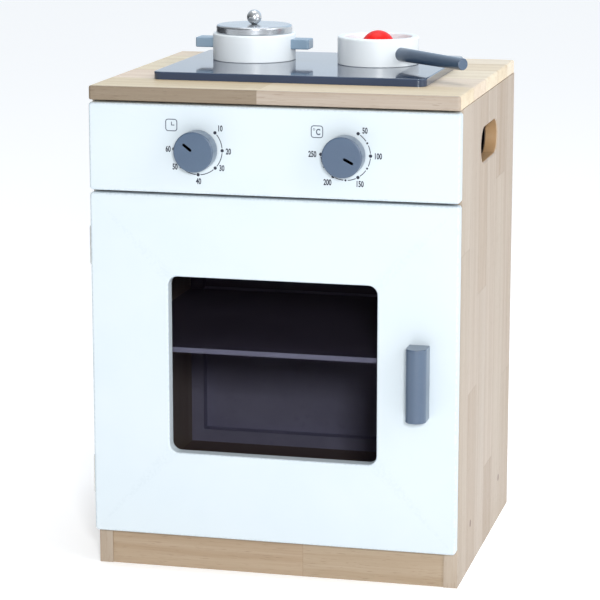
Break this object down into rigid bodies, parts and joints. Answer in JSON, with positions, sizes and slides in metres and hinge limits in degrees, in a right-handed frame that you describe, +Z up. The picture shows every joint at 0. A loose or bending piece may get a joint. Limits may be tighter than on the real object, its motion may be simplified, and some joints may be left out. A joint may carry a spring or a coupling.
{
  "type": "toy kitchen",
  "caption": "Wooden toy cooker: board cabinet with windowed oven door, turning dials, raised hob plate, lidded pot and long-handled pan.",
  "frame": {"origin": "on the floor, at the centre of the overall footprint, handle included", "axes": "+X to the viewer's right, -Y out of the door's front, +Z up"},
  "size_m": [0.4053, 0.377, 0.5938],
  "materials": {
    "side_wood": "clear matt lacquer on upright staves",
    "worktop_wood": "clear matt lacquer on lengthwise staves",
    "plinth_wood": "clear matt lacquer",
    "inner_wood": "raw sanded",
    "front_paint": "white satin lacquer",
    "vessel_paint": "white satin lacquer",
    "slate_paint": "slate blue satin lacquer",
    "hob_paint": "dark blue-grey gloss lacquer",
    "grey_board": "grey painted board",
    "silver_paint": "silver metallic lacquer on wood",
    "red_paint": "red gloss lacquer",
    "smoked_acrylic": "smoked clear sheet",
    "zinc_steel": "zinc plated",
    "plated_steel": "nickel plated",
    "catch_plastic": "moulded",
    "magnet": "ferrite with steel shoes",
    "felt": "pressed felt"
  },
  "bodies": {
    "cabinet": {"left_side_panel": "side_wood", "right_side_panel": "side_wood", "bottom_panel": "inner_wood", "divider_panel": "inner_wood", "worktop": "worktop_wood", "plinth": "plinth_wood", "back_panel": "grey_board", "back_batten_left": "inner_wood", "back_batten_right": "inner_wood", "back_batten_bottom": "inner_wood", "back_batten_top": "inner_wood", "front_rail": "inner_wood", "rear_rail": "inner_wood", "front_cleat": "inner_wood", "shelf": "grey_board", "control_panel": "front_paint", "hob_plate": "hob_paint", "hob_screws": "zinc_steel", "worktop_screws": "zinc_steel", "carcass_screws": "zinc_steel", "screw_plugs": "inner_wood", "divider_dowels": "inner_wood", "control_panel_screws": "zinc_steel", "back_panel_screws": "zinc_steel", "frame_leaf_upper": "plated_steel", "frame_leaf_lower": "plated_steel", "hinge_pin_upper": "plated_steel", "hinge_pin_lower": "plated_steel", "frame_hardware_screws": "zinc_steel", "catch_body": "catch_plastic", "catch_magnet": "magnet"},
    "door": {"door_panel": "front_paint", "window_pane": "smoked_acrylic", "pane_screws": "zinc_steel", "door_handle": "slate_paint", "handle_screws": "zinc_steel", "door_leaf_upper": "plated_steel", "door_leaf_lower": "plated_steel", "door_hardware_screws": "zinc_steel", "strike_plate": "plated_steel"},
    "timer_dial": {"timer_knob": "slate_paint", "timer_spindle": "inner_wood", "timer_felt": "felt", "timer_washer": "zinc_steel", "timer_screw": "zinc_steel"},
    "temperature_dial": {"temperature_knob": "slate_paint", "temperature_spindle": "inner_wood", "temperature_felt": "felt", "temperature_washer": "zinc_steel", "temperature_screw": "zinc_steel"},
    "pot": {"pot_body": "vessel_paint", "pot_handle_left": "slate_paint", "pot_handle_right": "slate_paint", "pot_handle_dowels": "inner_wood"},
    "lid": {"pot_lid": "silver_paint", "lid_knob": "silver_paint"},
    "pan": {"pan_body": "vessel_paint", "pan_handle": "slate_paint"},
    "tomato": {"tomato": "red_paint"}
  },
  "joints": [
    {"name": "door_swing", "type": "hinge", "parent": "cabinet", "child": "door", "pos_m": [-0.2028, -0.147, 0.2285], "axis": [0, 0, -1], "range_deg": [0, 180]},
    {"name": "timer_turn", "type": "hinge", "parent": "cabinet", "child": "timer_dial", "pos_m": [-0.0795, -0.1615, 0.4655], "axis": [0, 1, 0], "continuous": true},
    {"name": "temperature_turn", "type": "hinge", "parent": "cabinet", "child": "temperature_dial", "pos_m": [0.0795, -0.1615, 0.4655], "axis": [0, 1, 0], "continuous": true},
    {"name": "pot_lift", "type": "slide", "parent": "cabinet", "child": "pot", "axis": [0, 0, 1], "range_m": [0, 0.1]},
    {"name": "lid_lift", "type": "slide", "parent": "pot", "child": "lid", "axis": [0, 0, 1], "range_m": [0, 0.06]},
    {"name": "pan_lift", "type": "slide", "parent": "cabinet", "child": "pan", "axis": [0, 0, 1], "range_m": [0, 0.1]},
    {"name": "tomato_lift", "type": "slide", "parent": "pan", "child": "tomato", "axis": [0, 0, 1], "range_m": [0, 0.06]}
  ]
}
